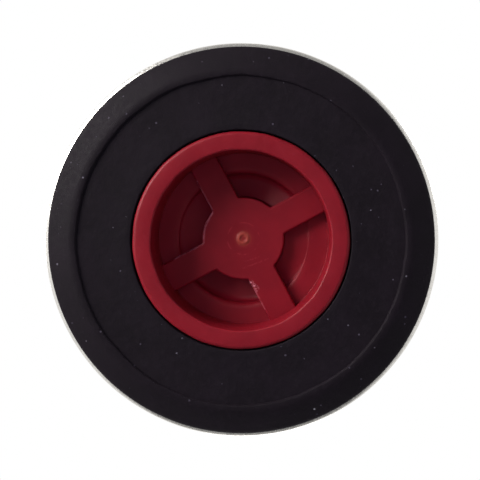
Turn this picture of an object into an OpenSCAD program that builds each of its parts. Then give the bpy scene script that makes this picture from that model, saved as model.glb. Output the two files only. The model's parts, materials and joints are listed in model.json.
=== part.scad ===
// Automatic air vent of the float type, for heating systems.
// It stands on its rubber base seal, with the inlet below and the vent cap on top.
// Millimetres. +Z is up, the origin is the centre of the plane that the vent stands on.

/* [Can] */
// Outside diameter of the drawn can
can_d = 40.2; // [38:0.2:46]
// Sheet thickness of the can
can_wall = 0.9; // [0.75:0.05:1.1]
// How far the rolled beads go in
bead_depth = 0.8; // [0.6:0.05:0.9]
// Height of a rolled bead
bead_h = 2; // [1.8:0.1:2.4]
// Rounding of the can's lower edge
can_edge_r = 0.35; // [0.2:0.05:0.5]
// Inside radius of the edge that is rolled over the cover
roll_r = 0.8; // [0.6:0.1:1.2]
// Flat width of the rolled edge
roll_w = 0.7; // [0.4:0.1:1]

/* [Base seal] */
// Width of the can's edge that shows around the rubber
rim_show = 0.6; // [0.3:0.05:0.65]
// Height of the rubber below the can
seal_flange_h = 1.4; // [1.4:0.1:3]
// Height of the rubber inside the can
seal_plug_h = 4; // [3.6:0.1:5]
// Inside diameter of the raised lip
lip_d = 33.2; // [31:0.2:34]
// Width of the flat land on the lip
lip_land = 0.5; // [0.3:0.1:0.8]
// How far the lip stands below the inner ring
lip_h = 0.25; // [0.2:0.05:0.4]
// Height of the sloping outer zone
bevel_h = 0.9; // [0.6:0.1:1]

/* [Support plate] */
// Thickness of the steel plate above the rubber
plate_t = 1.2; // [1:0.1:1.6]

/* [Inlet guide] */
// Outside diameter of the pipe stub that enters the mouth
pipe_d = 18; // [17:0.5:19]
// Width of the guide's face ring
ring_w = 1.9; // [1.6:0.1:2.2]
// Height of the guide's head
ring_h = 2.4; // [2:0.1:2.8]
// How far the face ring stands below the rubber's inner ring
ring_proud = 0.15; // [0.05:0.05:0.2]
// Wall of the guide tube at the mouth
tube_wall = 0.9; // [0.8:0.1:1.2]
// How much the tube's wall thickens on each side towards the throat
throat_in = 1.9; // [1:0.1:2.2]
// Overall height of the guide
guide_h = 13.9; // [13:0.1:16]
// Depth of the notches in the guide's top edge, which let air in under the float
notch_h = 1.8; // [1:0.1:2.4]
// Depth of the mouth, from the face ring to the spokes
mouth_depth = 3.9; // [3.6:0.1:5]
// Number of spokes
spoke_count = 4; // [3:1:6]
// Width of a spoke
spoke_w = 3.1; // [2.4:0.1:3.6]
// Thickness of a spoke
spoke_t = 2; // [1.6:0.1:2.4]
// Diameter of the hub
hub_d = 8.66; // [8:0.02:9.6]
// Diameter of the boss above the hub, which guides the float's stem
boss_d = 5.4; // [5:0.1:6.4]
// How far the boss stays below the top of the tube
boss_drop = 0.4; // [0.2:0.1:0.8]
// Depth of the stem's guide bore
stem_bore_h = 6.4; // [6:0.1:7]
// Diameter of the gate mark on the hub
gate_d = 1.5; // [1:0.1:2]
// Depth of the gate mark
gate_depth = 0.2; // [0.1:0.05:0.4]

/* [Guide circlip] */
// Thickness of the circlip
clip_t = 0.8; // [0.6:0.1:1]
// Radial width of the circlip
clip_w = 2.1; // [1.7:0.1:2.6]
// Depth of the circlip's groove
clip_groove = 0.6; // [0.4:0.1:0.7]
// Radius of the circlip's plier holes
clip_hole_r = 0.6; // [0.4:0.1:0.7]

/* [Float] */
// Gap between the float and the can
float_gap = 2.5; // [2:0.1:3.5]
// Overall height of the float's body
float_h = 21; // [18:0.5:28]
// Wall of the hollow float
float_wall = 1; // [0.8:0.1:1.4]
// Rounding of the float's top edge
float_edge_r = 2.4; // [1.5:0.1:3]
// Number of side ribs on the float
rib_count = 4; // [3:1:8]
// Thickness of a side rib
rib_t = 1.2; // [0.8:0.1:1.8]
// Height of the side ribs
rib_h = 14; // [10:0.5:15]
// Travel of the float from its seat to the closed valve
stroke = 4.5; // [3.5:0.1:4.8]
// Diameter of the float's stem
stem_d = 3; // [2.4:0.1:3.6]
// Diameter of the pin that links float and lever
link_pin_d = 1.2; // [1:0.1:1.4]
// Height of the link pin above the float's top
link_h = 2.7; // [2.5:0.1:4]
// Thickness of an ear on the float
ear_t = 1; // [0.8:0.1:1.4]

/* [Lever] */
// Distance from the lever's pivot to the valve pad
pad_arm = 7; // [6.5:0.1:8]
// Distance from the valve pad to the link pin
link_arm = 8; // [7:0.1:10]
// Thickness of the lever
lever_t = 2; // [1.8:0.1:2.4]
// Width of the lever at its pivot and at its link
lever_w = 2.4; // [2:0.1:2.6]
// Diameter of the lever's pin
pivot_pin_d = 1.8; // [1.4:0.1:2]
// Wall around the pin in the lever's eye
eye_wall = 1; // [0.8:0.1:1.2]
// Wall around the slot for the link pin
slot_wall = 0.85; // [0.7:0.05:1]
// Diameter of the rubber valve pad
pad_d = 3.2; // [2.8:0.1:3.6]
// Depth of the pad's socket in the lever
pad_socket_h = 1.3; // [1:0.1:1.5]
// Wall around the pad's socket
pad_wall = 0.9; // [0.8:0.05:1.1]
// How far the pad stands above the lever
pad_proud = 0.5; // [0.4:0.1:0.8]

/* [Lever bracket] */
// Sheet thickness of the bracket
bracket_t = 0.8; // [0.6:0.1:1]
// Width of the bracket's plate
bracket_w = 12; // [11:0.2:14]
// Room for the spring between the lever and each ear
spring_room = 1.3; // [1.2:0.05:1.5]
// Distance from the pivot to the bracket's screws
screw_reach = 5.2; // [4.8:0.1:6]
// How far the plate runs past the screws' heads
bracket_margin = 1; // [0.6:0.1:1.2]
// Distance between the two screws
screw_pitch = 6.4; // [6:0.1:7]
// Diameter of a screw's shank
screw_d = 2.4; // [2:0.1:2.6]
// Diameter of a screw's head
screw_head_d = 4; // [3.6:0.1:4.4]
// Height of a screw's head
screw_head_h = 1.5; // [1.2:0.1:1.8]
// Length of a screw's shank
screw_l = 4.4; // [4:0.1:5]

/* [Lever spring] */
// Wire diameter of the spring
wire_d = 0.35; // [0.25:0.01:0.36]
// Number of full turns in the coil
coil_turns = 2; // [1:1:2]
// Angle of the upper leg above the horizontal
spring_leg_angle = 70; // [60:1:80]

/* [Valve seat] */
// Bore of the vent channel in the seat
seat_bore_d = 1.8; // [1.2:0.1:2]
// Diameter of the seat's nose
nose_d = 3; // [2.6:0.1:3.2]
// Length of the seat's nose
nose_h = 1; // [0.8:0.1:1.4]
// Diameter of the seat's flange
seat_flange_d = 8; // [7.6:0.1:8.6]
// Thickness of the seat's flange
seat_flange_t = 1; // [0.8:0.1:1.4]
// Diameter of the seat's shank
shank_d = 5.2; // [4.8:0.1:5.6]
// Length of the seat's shank
shank_h = 6; // [5:0.5:8]
// Cord of the small O-ring around the shank
seat_ring_cord = 0.7; // [0.5:0.1:0.8]

/* [Cover] */
// Height of the cover's flange
cover_flange_h = 4; // [3.6:0.1:5]
// Cord of the O-ring between cover and can
cover_ring_cord = 1.8; // [1.4:0.1:2]
// Height of the dome
dome_h = 3; // [2:0.1:5]
// Distance across the flats of the hexagon
hex_flats = 17; // [15:0.5:19]
// Height of the hexagon
hex_h = 5; // [4:0.5:8]
// Height of the round collar under the hexagon
collar_h = 0.8; // [0.5:0.1:1.5]
// How far the collar stands out past the hexagon's flats
collar_ledge = 1.7; // [1.5:0.1:2.2]
// Diameter of the neck above the hexagon
neck_d = 10.8; // [10:0.2:12]
// Height of the neck
neck_h = 0.8; // [0.5:0.1:1.5]
// Thread diameter of the nozzle
nozzle_d = 8; // [7:0.2:9]
// Height of the nozzle above the neck
nozzle_h = 8; // [7:0.5:10]
// Diameter of the vent channel in the nozzle
channel_d = 3; // [2:0.1:3.6]
// Pitch of the nozzle's thread
thread_pitch = 1.25; // [1:0.05:1.5]
// Depth of the thread's grooves
thread_depth = 0.5; // [0.3:0.05:0.6]

/* [Vent cap] */
// Thickness of the cap's skirt
cap_wall = 2.6; // [2.2:0.1:3.2]
// Thickness of the cap's top
cap_top_t = 2.2; // [1.8:0.1:3]
// Number of grip ribs
cap_rib_count = 24; // [16:1:30]
// Radius of a grip rib
cap_rib_r = 0.5; // [0.4:0.05:0.7]
// Rounding of the cap's top edge
cap_edge_r = 1.2; // [0.8:0.1:1.6]
// Width of the two air slots
slot_w = 1.6; // [1.2:0.1:2.2]
// Height of the two air slots
slot_h = 2.4; // [1.8:0.1:3]
// Thickness of the rubber washer in the cap
washer_t = 1; // [0.8:0.1:1.4]

/* [Clearances] */
// Gap between pieces that are pressed together
press_gap = 0.05; // [0.02:0.01:0.06]
// Gap around a pin that turns
running_gap = 0.08; // [0.05:0.01:0.1]
// Gap around the link pin in the lever's slot
link_gap = 0.14; // [0.12:0.01:0.18]
// Gap between a moving piece and what it rests on
rest_gap = 0.3; // [0.2:0.05:0.4]
// Gap between the pipe stub and the mouth
pipe_gap = 0.05; // [0.05:0.05:0.2]
// Gap between the nozzle's thread and the cap
cap_gap = 0.3; // [0.2:0.05:0.5]

/* [Hidden] */
$fn = 64;

// How far a cut runs past the surface that it opens
cut_past = 1;

// Radii of the can and of what fits in it
can_r = can_d / 2;
can_in_r = can_r - can_wall;
seal_r = can_r - rim_show;
bead_half = bead_h / 2;

// Heights of the stack from the floor up to the support plate
ring_z = lip_h - ring_proud;
ring_top_z = ring_z + ring_h;
can_z = seal_flange_h;
seal_top_z = can_z + seal_plug_h;
plate_top_z = seal_top_z + plate_t;
plate_r = can_in_r - 4 * press_gap;

// Inlet guide
mouth_r = pipe_d / 2 + pipe_gap;
ring_r = mouth_r + ring_w;
tube_r = mouth_r + tube_wall;
throat_r = mouth_r - throat_in;
spoke_z = ring_z + mouth_depth;
guide_top_z = ring_z + guide_h;
boss_top_z = guide_top_z - boss_drop;
stem_bore_z = boss_top_z - stem_bore_h;
ring_edge_r = 0.45;
mouth_edge_r = 0.15;
gate_nub_r = gate_d / 4;
clip_z = plate_top_z + press_gap;
clip_in_r = tube_r - clip_groove + press_gap;
clip_ear_r = clip_hole_r + 0.7;
clip_open_angle = 24;

// Float
float_r = can_in_r - float_gap;
float_z = guide_top_z + rest_gap;
float_base_t = float_wall + 0.2;
float_top_z = float_z + float_h;
rib_reach = float_gap * 0.7;
spigot_h = 2;
stem_tip_z = stem_bore_z + 0.4;
stem_socket_h = 5;
stem_boss_wall = 1.5;
socket_end_t = 1;
ear_gap = 0.4;
ear_r = link_pin_d / 2 + 0.9;
link_x = -link_arm;
link_z = float_top_z + link_h;

// Lever: level when the valve is closed, hanging at rest_angle when the float is down
pivot_x = pad_arm;
pivot_z = link_z + stroke;
link_reach = pad_arm + link_arm;
rest_angle = atan(stroke / link_reach);
slot_start = link_reach;
slot_end = link_reach / cos(rest_angle);
eye_r = pivot_pin_d / 2 + eye_wall;
link_eye_r = link_pin_d / 2 + link_gap + slot_wall;
pad_boss_r = pad_d / 2 + pad_wall;

// Valve seat and the underside of the cover
seat_z = pivot_z + lever_t / 2 + pad_proud + press_gap;
seat_flange_z = seat_z + nose_h;
cover_z = seat_flange_z + seat_flange_t;
seat_ring_r = shank_d / 2 + seat_ring_cord / 2 + press_gap;
counterbore_r = seat_ring_r + seat_ring_cord / 2 + press_gap;
counterbore_h = seat_ring_cord + press_gap;

// Bracket
ear_in_y = lever_w / 2 + spring_room;
bracket_z = cover_z - bracket_t;
bracket_x0 = seat_flange_d / 2 + 0.4;
screw_x = pivot_x + screw_reach;
bracket_x1 = screw_x + screw_head_d / 2 + bracket_margin;
bracket_ear_r = pivot_pin_d / 2 + 0.8;
pin_head_t = 0.7;
pin_head_r = pivot_pin_d / 2 + 0.6;
pin_clip_t = 0.5;
pin_clip_r = pivot_pin_d / 2 + 0.9;
pin_groove = 0.25;
pin_tail = 0.5;
ear_out_y = ear_in_y + bracket_t;

// Lever spring: a coil round the pin, with one leg under the lever and one against the bracket
wire_r = wire_d / 2;
thick_wire_r = wire_r * 1.02;
coil_r = max(pivot_pin_d / 2 + wire_r + 0.1, lever_t / 2 + wire_r + press_gap);
coil_y0 = lever_w / 2 + wire_r + press_gap;
coil_y1 = ear_in_y - wire_r - 0.12;
coil_pitch = (coil_y1 - coil_y0) / coil_turns;
coil_start = rest_angle - 90;
coil_end = spring_leg_angle - 90;
lever_leg = pad_arm + pad_boss_r * 0.6;
upper_leg_rise = bracket_z - pivot_z - wire_r - press_gap - coil_r * sin(coil_end);
upper_leg = upper_leg_rise / sin(spring_leg_angle);

// Cover
flange_r = can_in_r - press_gap;
flange_top_z = cover_z + cover_flange_h;
roll_z = flange_top_z;
roll_top_z = roll_z + roll_r;
lip_in_r = can_in_r - roll_r - roll_w;
dome_r = lip_in_r - 0.3;
dome_z = roll_top_z + can_wall + 0.35;
collar_r = hex_flats / 2 + collar_ledge;
collar_z = dome_z + dome_h - 0.4;
hex_z = collar_z + collar_h;
neck_z = hex_z + hex_h;
nozzle_z = neck_z + neck_h;
nozzle_top_z = nozzle_z + nozzle_h;
cover_ring_r = can_in_r - press_gap - cover_ring_cord / 2;
cover_groove_r = cover_ring_r - cover_ring_cord / 2 - press_gap;
cover_groove_h = cover_ring_cord * 1.2;
cover_groove_z = cover_z + (cover_flange_h - cover_groove_h) / 2;
thread_count = floor((nozzle_h - 1.5) / thread_pitch);

// Vent cap and its washer
cap_z = nozzle_z + rest_gap;
cap_bore_r = nozzle_d / 2 + cap_gap;
washer_z = nozzle_top_z + press_gap;
washer_r = cap_bore_r + 0.6;
cap_inside_z = washer_z + washer_t + press_gap;
cap_top_z = cap_inside_z + cap_top_t;
cap_r = cap_bore_r + cap_wall;

// Rolled beads: two that trap the rubber and its plate, and one that carries the cover
bead_list = [
    can_z + seal_plug_h / 2,
    plate_top_z + bead_half * 0.75,
    cover_z - bead_half * 0.9
];

// Points along an arc about [x, z]
function arc(x, z, r, from, to, steps = 8) =
    [for (i = [0:steps]) let (a = from + (to - from) * i / steps) [x + r * cos(a), z + r * sin(a)]];

// How far the bead at height c moves the can's wall in at height z
function bead_in(z, c) = abs(z - c) < bead_half ? bead_depth * (1 + cos(180 * (z - c) / bead_half)) / 2 : 0;

// A wall of radius r that follows the beads in the list, from the lowest to the highest
function beaded_wall(r, beads, steps = 14) =
    [for (c = beads, i = [0:steps]) let (z = c - bead_half + bead_h * i / steps) [r - bead_in(z, c), z]];

function backwards(list) = [for (i = [len(list) - 1:-1:0]) list[i]];

// A solid of revolution from its outline of [radius, height] points
module turned(outline) {
    rotate_extrude()
        polygon(outline);
}

// A rod along Y from y0 to y1
module rod_y(r, y0, y1) {
    translate([0, y1, 0])
        rotate([90, 0, 0])
            cylinder(r = r, h = y1 - y0);
}

// A plate of thickness t above z, with the outline of its 2D children
module plate(z, t) {
    translate([0, 0, z])
        linear_extrude(t)
            children();
}

// A wall of thickness t about Y = 0, with the outline of its children drawn in X and Z
module wall_xz(y0, y1) {
    translate([0, y1, 0])
        rotate([90, 0, 0])
            linear_extrude(y1 - y0)
                children();
}

// The rounded strip between two circles of one radius
module strip(x0, x1, r) {
    translate([x0, 0])
        circle(r);
    translate([x1, 0])
        circle(r);
    translate([x0, -r])
        square([x1 - x0, 2 * r]);
}

// Places its children at the lever's pivot, turned as the lever hangs when the float is down
module at_lever() {
    translate([pivot_x, 0, pivot_z])
        rotate([0, -rest_angle, 0])
            children();
}

module at_screws() {
    for (side = [-1, 1])
        translate([screw_x, side * screw_pitch / 2, 0])
            children();
}

// Drawn can of nickel-plated sheet, rolled over the cover at its top
module housing_can() {
    lower_edge = arc(can_r - can_edge_r, can_z + can_edge_r, can_edge_r, -90, 0, 6);
    outer_roll = arc(can_in_r - roll_r, roll_z, roll_r + can_wall, 0, 90);
    inner_roll = arc(can_in_r - roll_r, roll_z, roll_r, 90, 0);
    color("silver")
        turned(concat(
            [[can_in_r, can_z]],
            lower_edge,
            beaded_wall(can_r, bead_list),
            outer_roll,
            [[lip_in_r, roll_top_z + can_wall], [lip_in_r, roll_top_z]],
            inner_roll,
            backwards(beaded_wall(can_in_r, bead_list))
        ));
}

// Moulded rubber ring: it closes the can's lower end, seals the inlet and carries the vent
module base_seal() {
    hole_r = tube_r + press_gap;
    recess_r = ring_r + 3 * press_gap;
    outer_edge = arc(seal_r - bevel_h / 3, bevel_h * 4 / 3, bevel_h / 3, -60, 0, 5);
    color([0.13, 0.12, 0.13])
        turned(concat(
            [[recess_r, lip_h], [lip_d / 2, lip_h], [lip_d / 2, 0], [lip_d / 2 + lip_land, 0]],
            outer_edge,
            [[seal_r, can_z], [can_in_r - press_gap, can_z]],
            beaded_wall(can_in_r - press_gap, [bead_list[0]]),
            [[can_in_r - press_gap, seal_top_z], [hole_r, seal_top_z]],
            [[hole_r, ring_top_z + press_gap], [recess_r, ring_top_z + press_gap]]
        ));
}

// Steel plate that backs the rubber
module support_plate() {
    color("lightsteelblue")
        plate(seal_top_z, plate_t)
            difference() {
                circle(plate_r);
                circle(tube_r + press_gap);
            }
}

// Outline of the guide's tube: face ring, circlip groove, throat and the mouth's straight bore
function guide_tube_outline() = concat(
    arc(ring_r - ring_edge_r, ring_z + ring_edge_r, ring_edge_r, -90, 0),
    [[ring_r, ring_top_z], [tube_r, ring_top_z], [tube_r, clip_z]],
    [[tube_r - clip_groove, clip_z], [tube_r - clip_groove, clip_z + clip_t + press_gap]],
    [[tube_r, clip_z + clip_t + press_gap], [tube_r, guide_top_z], [throat_r, guide_top_z]],
    [[mouth_r, spoke_z]],
    arc(mouth_r + mouth_edge_r, ring_z + mouth_edge_r, mouth_edge_r, 180, 270, 4)
);

// Hub and spokes as one plate; the spokes run a little into the tube's wall
module spoked_hub() {
    plate(spoke_z, spoke_t) {
        circle(d = hub_d);
        for (i = [0:spoke_count - 1])
            rotate(360 * (i + 0.5) / spoke_count)
                translate([0, -spoke_w / 2])
                    square([mouth_r + tube_wall / 3, spoke_w]);
    }
}

// Red moulding: mouth, spokes and hub, with the bore that guides the float's stem
module inlet_guide() {
    color([0.55, 0.1, 0.13])
        difference() {
            union() {
                turned(guide_tube_outline());
                spoked_hub();
                translate([0, 0, spoke_z + spoke_t / 2])
                    cylinder(d = boss_d, h = boss_top_z - spoke_z - spoke_t / 2);
            }
            translate([0, 0, stem_bore_z])
                cylinder(r = stem_d / 2 + running_gap, h = stem_bore_h + cut_past);
            for (i = [0:spoke_count - 1])
                air_notch(360 * (i + 0.5) / spoke_count);
            gate_mark();
        }
}

// Notch in the tube's top edge, in line with a spoke
module air_notch(angle) {
    rotate([0, 0, angle])
        translate([(throat_r + boss_d / 2) / 2, -spoke_w / 2, guide_top_z - notch_h])
            cube([tube_r, spoke_w, notch_h + cut_past]);
}

// Ring-shaped dimple that the sprue leaves in the hub's face
module gate_mark() {
    translate([0, 0, spoke_z - cut_past])
        difference() {
            cylinder(d = gate_d, h = cut_past + gate_depth);
            cylinder(r = gate_nub_r, h = cut_past + gate_depth);
        }
}

// Places its children at the circlip's two ends, on the ears' centres
module at_clip_ears() {
    for (side = [-1, 1])
        rotate(side * (clip_open_angle / 2 + 6))
            translate([clip_in_r + clip_ear_r, 0])
                children();
}

// External circlip that holds the guide against the support plate
module guide_circlip() {
    opening = 2 * tube_r * [cos(clip_open_angle / 2), sin(clip_open_angle / 2)];
    color("gainsboro")
        plate(clip_z, clip_t)
            difference() {
                union() {
                    difference() {
                        circle(clip_in_r + clip_w);
                        polygon([[0, 0], [opening.x, -opening.y], opening]);
                    }
                    at_clip_ears()
                        circle(clip_ear_r);
                }
                circle(clip_in_r);
                at_clip_ears()
                    circle(clip_hole_r);
            }
}

// Hollow upper part of the float, with its side ribs and the ears for the link pin
module float_shell() {
    shell_z = float_z + float_base_t;
    inner_r = float_r - float_wall;
    outer_edge = arc(float_r - float_edge_r, float_top_z - float_edge_r, float_edge_r, 0, 90);
    inner_edge = arc(float_r - float_edge_r, float_top_z - float_edge_r, float_edge_r - float_wall, 90, 0);
    color([0.38, 0.16, 0.2]) {
        turned(concat(
            [[inner_r, shell_z], [float_r, shell_z]],
            outer_edge,
            [[0, float_top_z], [0, float_top_z - float_wall]],
            inner_edge
        ));
        for (i = [0:rib_count - 1])
            rotate([0, 0, 360 * (i + 0.5) / rib_count])
                float_rib(shell_z);
        for (side = [-1, 1])
            float_ear(side);
    }
}

module float_rib(z) {
    translate([float_r - float_wall / 2, -rib_t / 2, z])
        cube([rib_reach + float_wall / 2, rib_t, rib_h]);
}

module float_ear(side) {
    y0 = lever_w / 2 + ear_gap;
    y = side > 0 ? y0 : -y0 - ear_t;
    root_h = link_h + float_wall / 2;
    translate([link_x, 0, link_z])
        wall_xz(y, y + ear_t)
            difference() {
                union() {
                    circle(ear_r);
                    translate([-ear_r, -root_h])
                        square([2 * ear_r, root_h]);
                }
                circle(link_pin_d / 2 + press_gap);
            }
}

// Welded underside of the float, with the socket that holds its stem
module float_base() {
    spigot_r = float_r - float_wall - press_gap;
    color([0.33, 0.13, 0.17])
        difference() {
            union() {
                translate([0, 0, float_z])
                    cylinder(r = float_r, h = float_base_t);
                translate([0, 0, float_z])
                    difference() {
                        cylinder(r = spigot_r, h = float_base_t + spigot_h);
                        translate([0, 0, float_base_t])
                            cylinder(r = spigot_r - float_wall, h = spigot_h + cut_past);
                    }
                translate([0, 0, float_z])
                    cylinder(r = stem_d / 2 + stem_boss_wall, h = stem_socket_h + socket_end_t);
            }
            translate([0, 0, float_z - cut_past])
                cylinder(r = stem_d / 2 + press_gap, h = stem_socket_h + cut_past);
        }
}

// Stainless rod that slides in the hub's bore
module float_stem() {
    top_z = float_z + stem_socket_h - press_gap;
    tip = stem_d / 6;
    color("silver")
        turned([
            [0, stem_tip_z], [stem_d / 2 - tip, stem_tip_z], [stem_d / 2, stem_tip_z + tip],
            [stem_d / 2, top_z], [0, top_z]
        ]);
}

// Pin that carries the lever's slotted end
module link_pin() {
    half = lever_w / 2 + ear_gap + ear_t + 0.3;
    color("silver")
        translate([link_x, 0, link_z])
            rod_y(link_pin_d / 2, -half, half);
}

// Lever in its own frame: the pivot is at the origin and the arm points along -X
module lever_body() {
    slot_r = link_pin_d / 2 + link_gap;
    difference() {
        union() {
            rod_y(eye_r, -lever_w / 2, lever_w / 2);
            wall_xz(-lever_w / 2, lever_w / 2)
                translate([-slot_end, -lever_t / 2])
                    square([slot_end, lever_t]);
            wall_xz(-lever_w / 2, lever_w / 2)
                strip(-slot_end, -slot_start, link_eye_r);
            translate([-pad_arm, 0, -lever_t / 2])
                cylinder(r = pad_boss_r, h = lever_t);
        }
        rod_y(pivot_pin_d / 2 + running_gap, -lever_w, lever_w);
        wall_xz(-lever_w, lever_w)
            strip(-slot_end, -slot_start, slot_r);
        translate([-pad_arm, 0, lever_t / 2 - pad_socket_h])
            cylinder(r = pad_d / 2 + press_gap, h = pad_socket_h + cut_past);
    }
}

module valve_lever() {
    color("ivory")
        at_lever()
            lever_body();
}

// Rubber pad that closes the seat
module valve_pad() {
    color([0.2, 0.2, 0.2])
        at_lever()
            translate([-pad_arm, 0, lever_t / 2 - pad_socket_h + press_gap])
                cylinder(d = pad_d, h = pad_socket_h + pad_proud - press_gap);
}

// Headed pin that the lever turns on
module lever_pin() {
    tail_y = ear_out_y + press_gap + pin_clip_t + pin_tail;
    groove_y = ear_out_y + press_gap;
    color("silver")
        translate([pivot_x, 0, pivot_z])
            difference() {
                union() {
                    rod_y(pivot_pin_d / 2, -ear_out_y - press_gap, tail_y);
                    rod_y(pin_head_r, -ear_out_y - press_gap - pin_head_t, -ear_out_y - press_gap);
                }
                difference() {
                    rod_y(pivot_pin_d, groove_y, groove_y + pin_clip_t);
                    rod_y(pivot_pin_d / 2 - pin_groove, groove_y - cut_past, groove_y + pin_clip_t + cut_past);
                }
            }
}

// Small clip in the groove at the pin's tail
module pin_clip() {
    groove_r = pivot_pin_d / 2 - pin_groove;
    y = ear_out_y + press_gap;
    side_gap = press_gap / 2;
    color("gainsboro")
        translate([pivot_x, 0, pivot_z])
            wall_xz(y + side_gap, y + pin_clip_t - side_gap)
                difference() {
                    circle(pin_clip_r);
                    circle(groove_r + press_gap);
                    translate([-groove_r * 0.8, -2 * pin_clip_r])
                        square([groove_r * 1.6, 2 * pin_clip_r]);
                }
}

// Folded stainless bracket under the cover, with one ear on each side of the lever
module lever_bracket() {
    ear_h = bracket_z - pivot_z + bracket_t / 2;
    color("lightsteelblue")
        difference() {
            union() {
                translate([bracket_x0, -bracket_w / 2, bracket_z])
                    cube([bracket_x1 - bracket_x0, bracket_w, bracket_t]);
                for (y = [ear_in_y, -ear_out_y])
                    translate([pivot_x, 0, pivot_z])
                        wall_xz(y, y + bracket_t) {
                            circle(bracket_ear_r);
                            translate([-bracket_ear_r, 0])
                                square([2 * bracket_ear_r, ear_h]);
                        }
            }
            translate([pivot_x, 0, pivot_z])
                rod_y(pivot_pin_d / 2 + press_gap, -bracket_w, bracket_w);
            at_screws()
                translate([0, 0, bracket_z - cut_past])
                    cylinder(r = screw_d / 2 + press_gap, h = bracket_t + 2 * cut_past);
        }
}

// Two pan-head screws with a cross recess
module bracket_screws() {
    recess_w = screw_head_d / 6;
    recess_l = screw_head_d * 0.6;
    color("silver")
        at_screws()
            difference() {
                union() {
                    translate([0, 0, bracket_z - screw_head_h])
                        cylinder(d = screw_head_d, h = screw_head_h);
                    translate([0, 0, bracket_z])
                        cylinder(d = screw_d, h = screw_l);
                }
                for (turn = [0, 90])
                    rotate([0, 0, turn])
                        translate([-recess_l / 2, -recess_w / 2, bracket_z - screw_head_h - cut_past])
                            cube([recess_l, recess_w, cut_past + screw_head_h / 2]);
            }
}

// Part of a turn of the spring's wire, from the X axis
module wire_arc(angle, r) {
    rotate_extrude(angle = angle)
        translate([coil_r, 0])
            circle(r, $fn = 24);
}

// Straight leg of the spring along Y, on the coil's radius
module wire_leg(y0, y1) {
    translate([coil_r, y0, 0])
        rotate([-90, 0, 0])
            cylinder(r = thick_wire_r, h = y1 - y0, $fn = 24);
}

// Coil about Z: half turns that each climb half a pitch, then a flat arc into the upper leg.
// Every other piece is a hair thicker, so that neighbours meet in a clean step.
module spring_coil() {
    tilt = asin(coil_pitch / 4 / coil_r);
    end_arc = coil_end - coil_start;
    for (i = [0:2 * coil_turns - 1])
        translate([0, 0, (i + 0.5) * coil_pitch / 2])
            rotate([0, 0, 180 * i])
                rotate([0, tilt, 0])
                    wire_arc(180, i % 2 == 0 ? wire_r : thick_wire_r);
    wire_leg(-lever_leg, 0);
    translate([0, 0, coil_turns * coil_pitch]) {
        wire_arc(end_arc, wire_r);
        rotate([0, 0, end_arc])
            wire_leg(0, upper_leg);
    }
}

// Torsion spring that lifts the lever towards the seat
module lever_spring() {
    color("dimgray")
        translate([pivot_x, -coil_y0, pivot_z])
            rotate([90, 0, 0])
                rotate([0, 0, coil_start])
                    spring_coil();
}

// Brass insert with the vent channel; its nose is the valve's seat
module valve_seat() {
    bore_r = seat_bore_d / 2;
    color("goldenrod")
        turned([
            [bore_r, seat_z], [nose_d / 2, seat_z], [nose_d / 2, seat_flange_z],
            [seat_flange_d / 2, seat_flange_z], [seat_flange_d / 2, cover_z],
            [shank_d / 2, cover_z], [shank_d / 2, cover_z + shank_h], [bore_r, cover_z + shank_h]
        ]);
}

// A ring of round cord
module o_ring(r, z, cord) {
    translate([0, 0, z])
        rotate_extrude()
            translate([r, 0])
                circle(d = cord);
}

module seat_o_ring() {
    color([0.15, 0.15, 0.15])
        o_ring(seat_ring_r, cover_z + counterbore_h / 2, seat_ring_cord);
}

module cover_o_ring() {
    color([0.15, 0.15, 0.15])
        o_ring(cover_ring_r, cover_groove_z + cover_groove_h / 2, cover_ring_cord);
}

// Outline of the turned part of the cover, from its underside to the collar
function cover_outline() = concat(
    [[0, cover_z], [flange_r, cover_z], [flange_r, cover_groove_z]],
    [[cover_groove_r, cover_groove_z], [cover_groove_r, cover_groove_z + cover_groove_h]],
    [[flange_r, cover_groove_z + cover_groove_h], [flange_r, flange_top_z]],
    arc(can_in_r - roll_r, roll_z, roll_r - press_gap, 0, 90, 6),
    [[dome_r, roll_top_z - press_gap]],
    [
        for (a = [0:7.5:90])
            [collar_r - 1 + (dome_r - collar_r + 1) * cos(a), dome_z + dome_h * sin(a)]
    ],
    [[0, dome_z + dome_h]]
);

// Outline of the nozzle, with one groove for each turn of its thread
function nozzle_outline() = concat(
    [[0, nozzle_z - neck_h], [neck_d / 2, nozzle_z - neck_h], [neck_d / 2, nozzle_z]],
    [[nozzle_d / 2 - thread_depth, nozzle_z]],
    [
        for (i = [0:thread_count - 1])
            let (z = nozzle_z + 0.6 + i * thread_pitch)
                each [
                    [nozzle_d / 2 - thread_depth, z],
                    [nozzle_d / 2, z + thread_pitch * 0.4],
                    [nozzle_d / 2, z + thread_pitch * 0.55],
                    [nozzle_d / 2 - thread_depth, z + thread_pitch * 0.95]
                ]
    ],
    [[nozzle_d / 2 - thread_depth, nozzle_top_z], [0, nozzle_top_z]]
);

// Nickel-plated brass cover: flange, dome, hexagon and vent nozzle
module cover() {
    color("silver")
        difference() {
            union() {
                turned(cover_outline());
                translate([0, 0, collar_z])
                    cylinder(r = collar_r, h = collar_h);
                cover_hexagon();
                turned(nozzle_outline());
            }
            translate([0, 0, cover_z - cut_past])
                cylinder(r = shank_d / 2 + press_gap, h = shank_h + press_gap + cut_past);
            translate([0, 0, cover_z - cut_past])
                cylinder(r = counterbore_r, h = counterbore_h + cut_past);
            translate([0, 0, cover_z])
                cylinder(d = channel_d, h = nozzle_top_z - cover_z + cut_past);
            at_screws()
                translate([0, 0, cover_z - cut_past])
                    cylinder(r = screw_d / 2 + press_gap, h = screw_l - bracket_t + press_gap + cut_past);
        }
}

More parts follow.
